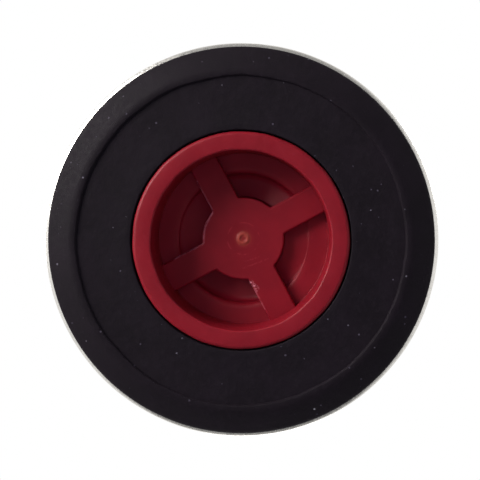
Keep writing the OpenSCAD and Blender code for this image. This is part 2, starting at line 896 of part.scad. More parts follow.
// Hexagon with its corners chamfered at the top
module cover_hexagon() {
    corner_r = hex_flats / 2 / cos(30);
    chamfer = 1;
    intersection() {
        translate([0, 0, hex_z])
            cylinder(r = corner_r, h = hex_h, $fn = 6);
        turned([
            [0, hex_z], [corner_r + 1, hex_z], [corner_r + 1, neck_z - chamfer],
            [corner_r - chamfer, neck_z], [0, neck_z]
        ]);
    }
}

// Rubber washer that seals the nozzle when the cap is screwed down
module cap_washer() {
    color([0.2, 0.2, 0.2])
        translate([0, 0, washer_z])
            cylinder(r = washer_r, h = washer_t);
}

// Black screw cap with grip ribs and two air slots
module vent_cap() {
    recess_r = washer_r + press_gap;
    rib_h = cap_top_z - cap_z - cap_edge_r - 1;
    color([0.1, 0.1, 0.11])
        difference() {
            union() {
                turned(concat(
                    [[0, cap_z], [cap_r - 0.3, cap_z], [cap_r, cap_z + 0.3]],
                    arc(cap_r - cap_edge_r, cap_top_z - cap_edge_r, cap_edge_r, 0, 90),
                    [[0, cap_top_z]]
                ));
                for (i = [0:cap_rib_count - 1])
                    rotate([0, 0, 360 * i / cap_rib_count])
                        translate([cap_r - cap_rib_r * 0.2, 0, cap_z + 0.8])
                            cylinder(r = cap_rib_r, h = rib_h, $fn = 24);
            }
            translate([0, 0, cap_z - cut_past])
                cylinder(r = cap_bore_r, h = cap_inside_z - cap_z + cut_past);
            translate([0, 0, washer_z - press_gap])
                cylinder(r = recess_r, h = washer_t + 2 * press_gap);
            translate([-slot_w / 2, -2 * cap_r, cap_z - cut_past])
                cube([slot_w, 4 * cap_r, slot_h + cut_past]);
        }
}

housing_can();
base_seal();
support_plate();
inlet_guide();
guide_circlip();
float_shell();
float_base();
float_stem();
link_pin();
valve_lever();
valve_pad();
lever_pin();
pin_clip();
lever_bracket();
bracket_screws();
lever_spring();
valve_seat();
seat_o_ring();
cover();
cover_o_ring();
cap_washer();
vent_cap();
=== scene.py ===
"""Looks of the automatic air vent: it stands on its base seal, and the main camera looks up at its inlet."""

import json
import math

import bpy
from mathutils import Matrix, Vector, noise


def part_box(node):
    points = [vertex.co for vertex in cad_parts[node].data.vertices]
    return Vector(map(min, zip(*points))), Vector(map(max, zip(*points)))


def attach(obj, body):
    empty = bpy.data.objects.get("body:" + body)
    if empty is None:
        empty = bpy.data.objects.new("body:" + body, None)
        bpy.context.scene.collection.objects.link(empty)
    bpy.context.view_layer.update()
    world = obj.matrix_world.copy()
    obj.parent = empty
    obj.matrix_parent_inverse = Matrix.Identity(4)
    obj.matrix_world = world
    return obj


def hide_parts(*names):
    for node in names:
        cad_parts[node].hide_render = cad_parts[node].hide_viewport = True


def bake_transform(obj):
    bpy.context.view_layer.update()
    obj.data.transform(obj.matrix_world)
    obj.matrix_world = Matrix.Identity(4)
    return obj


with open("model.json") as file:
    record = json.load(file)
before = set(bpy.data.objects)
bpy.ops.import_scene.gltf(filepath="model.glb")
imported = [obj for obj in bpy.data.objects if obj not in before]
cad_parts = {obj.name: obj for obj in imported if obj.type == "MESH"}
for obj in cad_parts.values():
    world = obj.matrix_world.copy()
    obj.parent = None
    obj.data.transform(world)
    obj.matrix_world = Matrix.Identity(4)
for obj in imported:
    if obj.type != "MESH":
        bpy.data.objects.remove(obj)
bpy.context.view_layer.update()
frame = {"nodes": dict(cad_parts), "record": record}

MM = 0.001
NODES = frame["nodes"]
MOUNTS = {mount["name"]: mount for mount in frame["record"]["mounts"]}
JOINTS = {joint["name"]: joint for joint in frame["record"]["behaviour"]["joints"]}
BODY = "vent_body"


# ---------------------------------------------------------------- sizes, in millimetres

def box_mm(node):
    """Lowest and highest corner of a CAD node, in millimetres."""
    low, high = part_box(node)
    return low / MM, high / MM


CAN_LOW, CAN_HIGH = box_mm("housing_can")
_, SEAL_HIGH = box_mm("base_seal")
GUIDE_LOW, GUIDE_HIGH = box_mm("inlet_guide")
CLIP_LOW, CLIP_HIGH = box_mm("guide_circlip")

MOUTH_R = MOUNTS["inlet_bore"]["dims"]["r_mm"]
CAN_R = MOUNTS["can_body"]["dims"]["r_mm"]

# housing can: the lower lip is a shallow curve up to CAN_LIP_SLOPE degrees, then a small round edge
CAN_T = 0.9
CAN_IN_R = CAN_R - CAN_T
CAN_LIP_R = 2.6
CAN_LIP_SLOPE = 34
CAN_EDGE_R = 0.23
BEAD_DEPTH = 0.8
BEAD_HALF = 1.0
ROLL_R = 0.8
ROLL_FLAT = 0.7
ROLL_EDGE_R = 0.2
ROLL_Z = CAN_HIGH.z - ROLL_R - CAN_T
BEADS = (CAN_LOW.z + 2.0, CAN_LOW.z + 5.95, ROLL_Z - 4.9)

# base seal: a flat ring inside a low lip and its step line, and a bevel outside them
SEAL_R = 19.6
SEAL_EDGE_R = 0.3
LIP_R = MOUNTS["seal_face"]["pos_m"][0] / MM - 0.25
LIP_LAND = 0.5
LIP_H = 0.25
BEVEL_H = 0.94
RECESS_R = 11.1
PLUG_R = 18.0
STEP_W = 0.14

# inlet guide: a face ring, the mouth, four spokes with a hub, and a throat with a sloping shelf behind them
RING_R = 10.95
RING_Z = GUIDE_LOW.z
RING_TOP_Z = RING_Z + 2.4
TUBE_R = RING_R - 1.0
CLIP_GROOVE_R = TUBE_R - 0.6
THROAT_R = 7.15
THROAT_LIP_R = 6.9
THROAT_ROUND = 0.75
SHELF_R = 4.4
SHELF_T = 0.8
MOUTH_DEPTH = 4.8
SPOKE_Z = RING_Z + MOUTH_DEPTH
SPOKE_T = 1.1
SPOKE_W = 3.1
SPOKE_ROUND = 0.3
LEDGE_Z = SPOKE_Z + 1.0
THROAT_Z = LEDGE_Z + 0.1
SHELF_Z = THROAT_Z + 1.7
# the shelf comes nearest at SHELF_NEAR: shares of its full depth there, opposite and at both sides
SHELF_NEAR = math.radians(262)
SHELF_SHARES = (0.03, 0.35, 1.0)
FOOT_W = 2.4
SPOKES = 4
HUB_R = 4.33
BOSS_R = 2.7
BORE_R = 1.58
BORE_Z = 7.2
# gate mark, and the worn arcs round it; turned pieces that close over the axis keep a hole of CENTRE_R
GATE_R = 0.75
ARC_R = 1.68
CENTRE_R = 0.01

# lever spring: a coil round the lever's pin, with a leg under the lever and a leg against the bracket
LEVER_JOINT = JOINTS["lever_pivot"]
PIVOT = Vector(LEVER_JOINT["pos_m"]) / MM
SPRING_LOW, SPRING_HIGH = box_mm("lever_spring")
WIRE_R = 0.175
COIL_R = 1.225
COIL_TURNS = 2
COIL_Y0 = SPRING_HIGH.y - WIRE_R
COIL_Y1 = SPRING_LOW.y + WIRE_R
COIL_START = math.radians(LEVER_JOINT["range_deg"][1] - 90)
COIL_END = math.radians(-20)
LOWER_LEG = 8.5
UPPER_LEG = 3.13
WIRE_TIP = 0.06


def spoke_turn(spoke):
    """Turn from the X axis to a spoke, in two dimensions."""
    return Matrix.Rotation(2 * math.pi * (spoke + 0.5) / SPOKES, 2)


def spoke_point(spoke, out, side):
    """A place on a spoke in (x, y): how far out from the axis, and how far to its side."""
    return tuple(spoke_turn(spoke) @ Vector((out, side)))


# marks on the hub: two scratches (start, end, half width), and a chip in the edge of the last spoke
SCRATCHES = (
    (spoke_point(3, 2.75, 1.6), spoke_point(3, 3.1, -1.3), 0.1),
    (spoke_point(3, 2.2, 1.0), spoke_point(3, 2.5, -0.6), 0.08),
)
CHIP = (spoke_point(3, 4.6, 1.5), spoke_point(3, 5.3, 1.3), 0.42)
# painted highlights, as lighter strokes where the key lamp catches the edges: the hub's rim between the first
# two spokes, and the edges of three spokes
EDGE_HIGHLIGHTS = (
    (spoke_point(0, 7.4, 1.5), spoke_point(0, 4.1, 1.5), 0.16),
    (spoke_point(0, 4.0, 1.6), spoke_point(0.25, 4.25, 0), 0.2),
    (spoke_point(0.25, 4.25, 0), spoke_point(0.5, 4.28, 0), 0.2),
    (spoke_point(0.5, 4.28, 0), spoke_point(0.75, 4.25, 0), 0.2),
    (spoke_point(1, 4.1, -1.5), spoke_point(1, 7.6, -1.5), 0.18),
    (spoke_point(3, 5.3, 1.5), spoke_point(3, 7.6, 1.5), 0.14),
)

# camera, in millimetres: it looks straight up at the inlet, from a little to the right of and above the axis,
# with its frame shifted back over the vent
FACE_DISTANCE = 90.0
CAMERA_RIGHT = 4.6
CAMERA_UP = 3.6
CAMERA_ROLL = math.radians(253)
FRAME_WIDTH = 48.0
AXIS_RIGHT = 0.09
AXIS_UP = -0.04


# ---------------------------------------------------------------- mesh helpers

def arc(x, z, r, start, end, steps=8):
    """Points along an arc about (x, z), with the angles in degrees."""
    angles = [math.radians(start + (end - start) * i / steps) for i in range(steps + 1)]
    return [(x + r * math.cos(a), z + r * math.sin(a)) for a in angles]


def add_mesh(name, points_mm, faces, sharp_deg=35):
    """A smooth-shaded object from points in millimetres, with its sharp edges kept."""
    mesh = bpy.data.meshes.new(name)
    mesh.from_pydata([Vector(p) * MM for p in points_mm], [], faces)
    mesh.validate()
    mesh.shade_smooth()
    mesh.set_sharp_from_angle(angle=math.radians(sharp_deg))
    piece = bpy.data.objects.new(name, mesh)
    bpy.context.scene.collection.objects.link(piece)
    return piece


def lathe_points(outline, segments, warp=None):
    """Points and faces of a closed (radius, height) outline turned about Z. warp moves a point."""
    points, faces = [], []
    count = len(outline)
    for s in range(segments):
        angle = 2 * math.pi * s / segments
        for r, z in outline:
            if warp:
                r, z = warp(r, z, angle)
            points.append((r * math.cos(angle), r * math.sin(angle), z))
    for s in range(segments):
        here, there = s * count, (s + 1) % segments * count
        for i in range(count):
            j = (i + 1) % count
            faces.append((here + i, there + i, there + j, here + j))
    return points, faces


def lathe(name, outline, segments, warp=None, sharp_deg=35):
    """A turned object from a closed (radius, height) outline."""
    return add_mesh(name, *lathe_points(outline, segments, warp), sharp_deg=sharp_deg)


def wire(name, path, radius, sides=12, tip_share=0.7):
    """A round wire along a path of points in millimetres, a little thinner at its tips."""
    points, faces = [], []
    side = Vector((0, 1, 0))
    for i, here in enumerate(path):
        ahead = (path[min(i + 1, len(path) - 1)] - path[max(i - 1, 0)]).normalized()
        side = (side - ahead * side.dot(ahead)).normalized()
        across = ahead.cross(side)
        r = radius * (tip_share if i in (0, len(path) - 1) else 1)
        for k in range(sides):
            turn = 2 * math.pi * k / sides
            points.append(here + side * r * math.cos(turn) + across * r * math.sin(turn))
    for i in range(len(path) - 1):
        for k in range(sides):
            j = (k + 1) % sides
            faces.append((i * sides + k, i * sides + j, (i + 1) * sides + j, (i + 1) * sides + k))
    faces.append(tuple(reversed(range(sides))))
    faces.append(tuple(range((len(path) - 1) * sides, len(path) * sides)))
    return add_mesh(name, points, faces, sharp_deg=50)


def wobble(angle, r, size, lobes, seed):
    """A smooth random shift that depends on the angle, of about the given size."""
    spot = Vector((math.cos(angle) * lobes, math.sin(angle) * lobes, r * 0.7 + seed))
    return size * noise.noise(spot)


def join(name, pieces):
    """Makes one object of several."""
    bpy.ops.object.select_all(action="DESELECT")
    for piece in pieces:
        piece.select_set(True)
    bpy.context.view_layer.objects.active = pieces[0]
    bpy.ops.object.join()
    pieces[0].name = name
    return pieces[0]


def bevel(piece, width_mm, segments, angle_deg=40):
    """Rounds a piece's sharp edges and applies the result."""
    modifier = piece.modifiers.new("bevel", "BEVEL")
    modifier.width = width_mm * MM
    modifier.segments = segments
    modifier.limit_method = "ANGLE"
    modifier.angle_limit = math.radians(angle_deg)
    bpy.context.view_layer.objects.active = piece
    bpy.ops.object.modifier_apply(modifier="bevel")
    piece.data.shade_smooth()


# ---------------------------------------------------------------- material helpers

class Nodes:
    """Short ways to add nodes to a tree."""

    def __init__(self, tree):
        self.tree = tree

    def node(self, kind, **settings):
        made = self.tree.nodes.new(kind)
        for key, value in settings.items():
            setattr(made, key, value)
        return made

    def link(self, source, target):
        self.tree.links.new(source, target)

    def feed(self, socket, value):
        """Puts a number, a colour or another node's output into a socket."""
        if isinstance(value, bpy.types.NodeSocket):
            self.link(value, socket)
        else:
            socket.default_value = value

    def math(self, operation, a, b=0.0):
        made = self.node("ShaderNodeMath", operation=operation)
        for socket, value in zip(made.inputs, (a, b)):
            self.feed(socket, value)
        return made.outputs[0]

    def vector(self, operation, a, b=None, scale=None):
        made = self.node("ShaderNodeVectorMath", operation=operation)
        self.feed(made.inputs[0], a)
        if b is not None:
            self.feed(made.inputs[1], b)
        if scale is not None:
            made.inputs["Scale"].default_value = scale
        return made.outputs["Value"] if operation in ("LENGTH", "DOT_PRODUCT") else made.outputs[0]

    def range(self, value, low, high, out_low=0.0, out_high=1.0, smooth=True):
        """Maps low..high to out_low..out_high, and holds the ends."""
        made = self.node("ShaderNodeMapRange")
        made.interpolation_type = "SMOOTHSTEP" if smooth else "LINEAR"
        for socket, number in zip(made.inputs[1:5], (low, high, out_low, out_high)):
            socket.default_value = number
        self.feed(made.inputs[0], value)
        return made.outputs[0]

    def mix(self, share, a, b, blend="MIX"):
        made = self.node("ShaderNodeMix", data_type="RGBA", blend_type=blend)
        self.feed(made.inputs["Factor"], share)
        for socket, value in zip(made.inputs[6:8], (a, b)):
            self.feed(socket, (*value, 1) if isinstance(value, tuple) else value)
        return made.outputs[2]

    def mix_shaders(self, share, a, b):
        made = self.node("ShaderNodeMixShader")
        for socket, output in zip(made.inputs, (share, a, b)):
            self.link(output, socket)
        return made.outputs[0]


class Finish(Nodes):
    """A procedural material built on one Principled shader, with coordinates in millimetres."""

    def __init__(self, name, color, roughness, metallic=0.0, specular=0.5):
        self.material = bpy.data.materials.new(name)
        self.material.use_nodes = True
        super().__init__(self.material.node_tree)
        self.shader = self.tree.nodes["Principled BSDF"]
        self.set("Base Color", (*color, 1))
        self.set("Roughness", roughness)
        self.set("Metallic", metallic)
        self.set("Specular IOR Level", specular)
        coordinates = self.node("ShaderNodeTexCoord")
        self.place = self.vector("SCALE", coordinates.outputs["Object"], scale=1 / MM)

    def set(self, socket, value):
        self.shader.inputs[socket].default_value = value

    def noise(self, scale, detail=3.0, roughness=0.5, place=None):
        made = self.node("ShaderNodeTexNoise")
        self.feed(made.inputs["Vector"], place or self.place)
        made.inputs["Scale"].default_value = scale
        made.inputs["Detail"].default_value = detail
        made.inputs["Roughness"].default_value = roughness
        return made.outputs["Fac"]

    def parts(self):
        """X, Y and Z of the place, in millimetres."""
        made = self.node("ShaderNodeSeparateXYZ")
        self.link(self.place, made.inputs[0])
        return made.outputs

    def distance(self, x, y):
        """Length of (x, y)."""
        return self.math("SQRT", self.math("ADD", self.math("MULTIPLY", x, x), self.math("MULTIPLY", y, y)))

    def radius(self):
        """Distance from the vent's axis, in millimetres."""
        x, y, _ = self.parts()
        return self.distance(x, y)

    def rings(self, scale):
        """Noise drawn out into fine rings round the axis, as turning leaves them."""
        place = self.node("ShaderNodeCombineXYZ")
        self.link(self.radius(), place.inputs[0])
        self.link(self.parts()[2], place.inputs[2])
        return self.noise(scale, 3, 0.6, place=place.outputs[0])

    def band(self, value, centre, half, soft=0.5):
        """1 within half of the centre value, fading out over the last share of the half."""
        away = self.math("ABSOLUTE", self.math("SUBTRACT", value, centre))
        return self.range(away, half * (1 - soft), half, 1.0, 0.0)

    def stroke(self, start, end, half_width):
        """1 along a straight mark between two (x, y) places, fading out over its half width."""
        x, y, _ = self.parts()
        length = math.dist(start, end)
        way = ((end[0] - start[0]) / length, (end[1] - start[1]) / length)
        dx = self.math("SUBTRACT", x, start[0])
        dy = self.math("SUBTRACT", y, start[1])
        along = self.math("ADD", self.math("MULTIPLY", dx, way[0]), self.math("MULTIPLY", dy, way[1]))
        across = self.math("SUBTRACT", self.math("MULTIPLY", dy, way[0]), self.math("MULTIPLY", dx, way[1]))
        past = self.math("SUBTRACT", along, self.range(along, 0.0, length, 0.0, length, smooth=False))
        return self.range(self.distance(past, across), half_width * 0.3, half_width, 1.0, 0.0)

    def specks(self, cell, size, share, seed=0.0):
        """Small round specks: a share of the cells holds one, of up to the given radius."""
        made = self.node("ShaderNodeTexVoronoi", feature="F1")
        offset = self.vector("ADD", self.place, (seed, seed * 1.7, seed * 0.6))
        self.link(offset, made.inputs["Vector"])
        made.inputs["Scale"].default_value = 1 / cell
        pick = self.node("ShaderNodeSeparateColor")
        self.link(made.outputs["Color"], pick.inputs[0])
        chosen = self.math("LESS_THAN", pick.outputs[0], share)
        radius = self.math("MULTIPLY", pick.outputs[1], size / cell)
        inside = self.math("LESS_THAN", made.outputs["Distance"], radius)
        return self.math("MULTIPLY", chosen, inside)

    def color(self, value):
        self.link(value, self.shader.inputs["Base Color"])

    def rough(self, value):
        self.link(value, self.shader.inputs["Roughness"])

    def bump(self, *layers):
        """Chains (height output, depth in millimetres) layers into the shader's normal."""
        normal = None
        for height, depth in layers:
            made = self.node("ShaderNodeBump")
            made.inputs["Strength"].default_value = 1.0
            made.inputs["Distance"].default_value = depth * MM
            self.link(height, made.inputs["Height"])
            if normal:
                self.link(normal, made.inputs["Normal"])
            normal = made.outputs[0]
        self.link(normal, self.shader.inputs["Normal"])


def srgb(r, g, b):
    """A colour of 0 to 255 per channel, as linear light."""
    return tuple((c / 255 / 12.92 if c <= 10 else ((c / 255 + 0.055) / 1.055) ** 2.4) for c in (r, g, b))


# ---------------------------------------------------------------- finishes

def moulded_rubber():
    """Black EPDM of the base seal: matt, faintly mottled and dusty."""
    f = Finish("moulded_rubber", srgb(22, 15, 22), 0.62, specular=0.13)
    broad = f.noise(0.22, 3, 0.6)
    fine = f.noise(2.2, 5, 0.65)
    tone = f.mix(f.range(broad, 0.35, 0.7), srgb(20, 14, 20), srgb(24, 17, 24))
    tone = f.mix(f.range(fine, 0.45, 0.75, 0, 0.5), tone, srgb(31, 24, 31))
    tone = f.mix(f.specks(0.8, 0.11, 0.4, 7.3), tone, srgb(66, 60, 70))
    tone = f.mix(f.specks(1.3, 0.12, 0.3, 2.9), tone, srgb(92, 87, 96))
    f.color(f.mix(f.specks(2.8, 0.14, 0.3), tone, srgb(156, 152, 158)))
    f.rough(f.range(fine, 0.3, 0.8, 0.6, 0.76))
    f.bump((f.noise(1.1, 4, 0.6), 0.05), (f.noise(9, 3, 0.6), 0.012))
    return f.material


def red_moulding():
    """Red glass-filled plastic of the inlet guide, with its gate mark, scratches and chip, and painted
    highlights on edges of the hub and spokes.
    """
    f = Finish("red_moulding", srgb(127, 15, 30), 0.48, specular=0.24)
    f.set("Subsurface Weight", 0.15)
    f.set("Subsurface Scale", 0.001)
    f.set("Subsurface Radius", (1.0, 0.15, 0.12))
    broad = f.noise(0.35, 2, 0.5)
    fine = f.noise(3.5, 4, 0.6)
    tone = f.mix(f.range(broad, 0.3, 0.7), srgb(124, 13, 28), srgb(132, 16, 31))
    tone = f.mix(f.range(fine, 0.5, 0.8, 0, 0.35), tone, srgb(142, 25, 40))
    from_axis = f.radius()
    halo = f.range(from_axis, GATE_R * 0.5, GATE_R * 1.7, 0.45, 0.0)
    tone = f.mix(halo, tone, srgb(152, 46, 40))
    ring = f.band(from_axis, GATE_R * 0.66, GATE_R * 0.6, 0.9)
    tone = f.mix(f.math("MULTIPLY", ring, 0.5), tone, srgb(186, 80, 64))
    worn = f.range(f.noise(1.4, 2, 0.5), 0.48, 0.6)
    arcs = f.math("MULTIPLY", f.band(from_axis, ARC_R, 0.1, 0.9), worn)
    tone = f.mix(f.math("MULTIPLY", arcs, 0.5), tone, srgb(158, 46, 56))
    for start, end, width in SCRATCHES:
        mark = f.math("MULTIPLY", f.stroke(start, end, width), f.range(f.noise(5.0, 2, 0.6), 0.4, 0.55))
        tone = f.mix(f.math("MULTIPLY", mark, 0.4), tone, srgb(160, 50, 62))
    # painted highlights: lighter strokes along the hub's and spokes' edges stand in for the key lamp's glint
    # there, broken up by noise
    highlight_breakup = f.range(f.noise(2.2, 3, 0.6), 0.36, 0.56, 0.1, 1.0)
    for start, end, width in EDGE_HIGHLIGHTS:
        mark = f.math("MULTIPLY", f.stroke(start, end, width), highlight_breakup)
        tone = f.mix(f.math("MULTIPLY", mark, 0.45), tone, srgb(190, 104, 116))
    chip = f.stroke(*CHIP)
    whitened = f.math("MULTIPLY", chip, f.range(f.noise(4.5, 3, 0.7), 0.46, 0.6))
    tone = f.mix(f.math("MULTIPLY", whitened, 0.85), tone, srgb(226, 150, 160))
    dust = f.specks(2.4, 0.1, 0.16, 3.1)
    f.color(f.mix(dust, tone, srgb(206, 150, 150)))
    f.rough(f.range(fine, 0.3, 0.8, 0.42, 0.56))
    f.bump((f.noise(0.8, 3, 0.5), 0.03), (f.noise(6, 3, 0.6), 0.004))
    return f.material


def drawn_nickel():
    """Satin nickel plate on the drawn can: faint draw lines along the axis and soft stains."""
    f = Finish("drawn_nickel", srgb(226, 223, 218), 0.3, metallic=1.0)
    stretched = f.vector("MULTIPLY", f.place, (1.0, 1.0, 0.04))
    lines = f.noise(3.0, 4, 0.6, place=stretched)
    stain = f.noise(0.12, 4, 0.6)
    f.color(f.mix(f.range(stain, 0.4, 0.8), srgb(226, 223, 218), srgb(216, 213, 207)))
    f.rough(f.math("ADD", f.range(lines, 0.3, 0.7, 0.2, 0.34), f.range(stain, 0.4, 0.8, 0.0, 0.1)))
    f.bump((lines, 0.004), (f.noise(0.5, 2, 0.5), 0.02))
    return f.material


def turned_nickel():
    """Nickel plate on the machined cover: fine rings round the axis."""
    f = Finish("turned_nickel", srgb(202, 198, 190), 0.26, metallic=1.0)
    rings = f.rings(7.0)
    stain = f.noise(0.15, 4, 0.6)
    f.color(f.mix(f.range(stain, 0.35, 0.75), srgb(206, 201, 192), srgb(184, 178, 166)))
    f.rough(f.range(rings, 0.3, 0.7, 0.18, 0.34))
    f.bump((rings, 0.006), (f.noise(0.6, 2, 0.5), 0.012))
    return f.material


def sheet_steel(name, color, roughness):
    """Rolled or pressed steel of the small inner pieces: scratched along one way."""
    f = Finish(name, color, roughness, metallic=1.0)
    stretched = f.vector("MULTIPLY", f.place, (0.15, 2.5, 2.5))
    lines = f.noise(4.0, 4, 0.6, place=stretched)
    stain = f.noise(0.5, 3, 0.6)
    darker = tuple(c * 0.72 for c in color)
    f.color(f.mix(f.range(stain, 0.4, 0.75), color, darker))
    f.rough(f.range(lines, 0.3, 0.7, roughness * 0.8, roughness * 1.35))
    f.bump((lines, 0.003))
    return f.material


def turned_brass():
    """Turned brass of the valve seat, a little tarnished."""
    f = Finish("turned_brass", srgb(206, 168, 96), 0.28, metallic=1.0)
    rings = f.rings(9.0)
    tarnish = f.noise(0.8, 3, 0.6)
    f.color(f.mix(f.range(tarnish, 0.4, 0.8), srgb(208, 170, 98), srgb(160, 122, 66)))
    f.rough(f.range(rings, 0.3, 0.7, 0.2, 0.38))
    f.bump((rings, 0.005))
    return f.material


def moulded_plastic(name, color, shade, roughness, grain=0.02):
    """Plain moulded plastic with a soft mottle and a fine spark-eroded grain."""
    f = Finish(name, color, roughness, specular=0.4)
    broad = f.noise(0.3, 3, 0.5)
    fine = f.noise(5.0, 3, 0.6)
    f.color(f.mix(f.range(broad, 0.3, 0.7), color, shade))
    f.rough(f.range(fine, 0.3, 0.7, roughness * 0.85, roughness * 1.2))
    f.bump((f.noise(0.9, 2, 0.5), 0.02), (fine, grain))
    return f.material


def soft_rubber():
    """Black rubber of the O-rings, the pad and the washer."""
    f = Finish("soft_rubber", srgb(34, 33, 34), 0.5, specular=0.35)
    fine = f.noise(4.0, 4, 0.6)
    f.color(f.mix(f.range(fine, 0.35, 0.75), srgb(29, 28, 29), srgb(46, 44, 45)))
    f.rough(f.range(fine, 0.3, 0.8, 0.42, 0.64))
    f.bump((fine, 0.01))
    return f.material


def dress(material, *nodes):
    """Gives CAD nodes a material."""
    for name in nodes:
        piece = NODES[name]
        piece.data.materials.clear()
        piece.data.materials.append(material)


# ---------------------------------------------------------------- pieces

def seal_outline():
    """Outline of the rubber ring from the recess, along its lower face and up its outside."""
    edge = 0.12
    hollow = 0.05
    lip_foot = LIP_R - STEP_W
    inner_ring = [
        (lip_foot - (lip_foot - RECESS_R - edge) * i / 10, LIP_H + hollow * math.sin(math.pi * i / 10))
        for i in range(11)
    ]
    bevel_start, bevel_end, bevel_curve = LIP_R + LIP_LAND, SEAL_R - SEAL_EDGE_R / 2, 1.12
    slope = [
        (bevel_start + (bevel_end - bevel_start) * i / 8, BEVEL_H * (i / 8) ** bevel_curve)
        for i in range(9)
    ]
    return [
        (PLUG_R, SEAL_HIGH.z), (RECESS_R, SEAL_HIGH.z),
        *arc(RECESS_R + edge, LIP_H + edge, edge, 180, 270, 4)[:-1],
        *reversed(inner_ring),
        (LIP_R - 0.04, 0.07), (LIP_R, 0.02), (LIP_R + 0.06, 0.0),
        *slope,
        *arc(SEAL_R - SEAL_EDGE_R, BEVEL_H + 0.26, SEAL_EDGE_R, -40, 0, 4)[1:],
        (SEAL_R, CAN_LOW.z), (PLUG_R, CAN_LOW.z),
    ]


def beaded_wall(r):
    """Outline of the can's wall: straight, with three rolled beads."""
    steps = 14
    points = []
    for bead in BEADS:
        for i in range(steps + 1):
            share = 2 * i / steps - 1
            points.append((r - BEAD_DEPTH * (1 + math.cos(math.pi * share)) / 2, bead + BEAD_HALF * share))
    return points


def make_can():
    """Drawn can with a shallow, rounded lower lip, rolled beads and the edge rolled over the cover."""
    slope = math.radians(CAN_LIP_SLOPE)
    lip_x = CAN_R - CAN_EDGE_R - (CAN_LIP_R - CAN_EDGE_R) * math.sin(slope)
    lip_start = math.asin((CAN_IN_R - lip_x) / CAN_LIP_R)
    lip_z = CAN_LOW.z + CAN_LIP_R * math.cos(lip_start)
    edge_z = lip_z - (CAN_LIP_R - CAN_EDGE_R) * math.cos(slope)
    roll_x = CAN_IN_R - ROLL_R
    flat_x = roll_x - ROLL_FLAT
    outline = [
        *arc(lip_x, lip_z, CAN_LIP_R, math.degrees(lip_start) - 90, CAN_LIP_SLOPE - 90, 10),
        *arc(CAN_R - CAN_EDGE_R, edge_z, CAN_EDGE_R, CAN_LIP_SLOPE - 90, 0, 6)[1:],
        *beaded_wall(CAN_R),
        *arc(roll_x, ROLL_Z, ROLL_R + CAN_T, 0, 90, 12),
        *arc(flat_x, CAN_HIGH.z - ROLL_EDGE_R, ROLL_EDGE_R, 90, 180, 4),
        (flat_x - ROLL_EDGE_R, ROLL_Z + ROLL_R), *arc(roll_x, ROLL_Z, ROLL_R, 90, 0, 10),
        *reversed(beaded_wall(CAN_IN_R)),
    ]

    def warp(r, z, angle):
        """Makes the drawn wall a little uneven, within the CAD radius."""
        return r - 0.02 - wobble(angle, z * 0.02, 0.02, 3, 5.0) - wobble(angle, z * 0.1, 0.008, 11, 8.0), z

    piece = lathe("can_shell", outline, 384, warp)
    piece.data.materials.append(drawn_nickel())
    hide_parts("housing_can")
    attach(piece, BODY)


def make_seal():
    """Moulded rubber ring, with its step line a little wavy."""
    def warp(r, z, angle):
        reach = 0.9
        near_lip = max(0.0, 1 - abs(r - LIP_R) / reach)
        r += near_lip * (wobble(angle, 0, 0.10, 5, 1.0) + wobble(angle, 0, 0.05, 17, 4.0))
        if z < CAN_LOW.z - 0.1:
            z += wobble(angle, r, 0.02, 7, 9.0) + 0.01
        return r, max(z, 0.0)

    piece = lathe("rubber_ring", seal_outline(), 512, warp, sharp_deg=50)
    piece.data.materials.append(moulded_rubber())
    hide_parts("base_seal")
    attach(piece, BODY)


def tube_outline():
    """Outline of the guide's tube, from the face ring up the outside and down the inside."""
    edge_r = 0.42
    inner_r = 0.22
    corner_r = 0.06
    shelf_edge_r = 0.15
    groove_low, groove_high = CLIP_LOW.z - 0.02, CLIP_HIGH.z + 0.02
    slope = math.degrees(math.atan2(THROAT_Z - LEDGE_Z, MOUTH_R - THROAT_R))
    return [
        *arc(RING_R - edge_r, RING_Z + edge_r, edge_r, -90, 0),
        (RING_R, RING_TOP_Z), (TUBE_R, RING_TOP_Z), (TUBE_R, groove_low),
        (CLIP_GROOVE_R, groove_low), (CLIP_GROOVE_R, groove_high), (TUBE_R, groove_high),
        (TUBE_R, GUIDE_HIGH.z), (THROAT_R, GUIDE_HIGH.z), (THROAT_R, SHELF_Z + SHELF_T),
        (SHELF_R, SHELF_Z + SHELF_T),
        *arc(SHELF_R + shelf_edge_r, SHELF_Z + shelf_edge_r, shelf_edge_r, 180, 270, 4),
        *arc(THROAT_LIP_R - THROAT_ROUND, SHELF_Z - THROAT_ROUND, THROAT_ROUND, 90, 0),
        *arc(THROAT_LIP_R + THROAT_ROUND, THROAT_Z + THROAT_ROUND, THROAT_ROUND, 180, 270 - slope),
        *arc(MOUTH_R - corner_r, LEDGE_Z + 0.1 - corner_r, corner_r, 90 - slope, 0),
        *arc(MOUTH_R + inner_r, RING_Z + inner_r, inner_r, 180, 270, 4),
    ]


def star_outline(reach):
    """Hub and spokes seen along the axis, with a small fillet where they meet."""
    half = SPOKE_W / 2
    fillet = 0.22
    # a fillet circle touches the spoke's side and the hub
    centre_y = half + fillet
    centre_x = math.sqrt((HUB_R + fillet) ** 2 - centre_y ** 2)
    centre_angle = math.degrees(math.atan2(centre_y, centre_x))
    points = []
    side = [(reach, half)] + arc(centre_x, centre_y, fillet, 270, 180 + centre_angle, 5)
    hub = arc(0, 0, HUB_R, centre_angle, 360 / SPOKES - centre_angle, 14)[1:-1]
    next_side = [(x, -y) for x, y in reversed(side)]
    for spoke in range(SPOKES):
        points += [spoke_turn(spoke) @ Vector(p) for p in side + hub]
        points += [spoke_turn(spoke + 1) @ Vector(p) for p in next_side]
    return points


def foot_outline(spoke):
    """Foot under the end of one spoke, seen along the axis."""
    near, far, half = THROAT_R + 0.2, MOUTH_R + 0.45, FOOT_W / 2
    return [spoke_turn(spoke) @ Vector(p) for p in ((near, -half), (far, -half), (far, half), (near, half))]


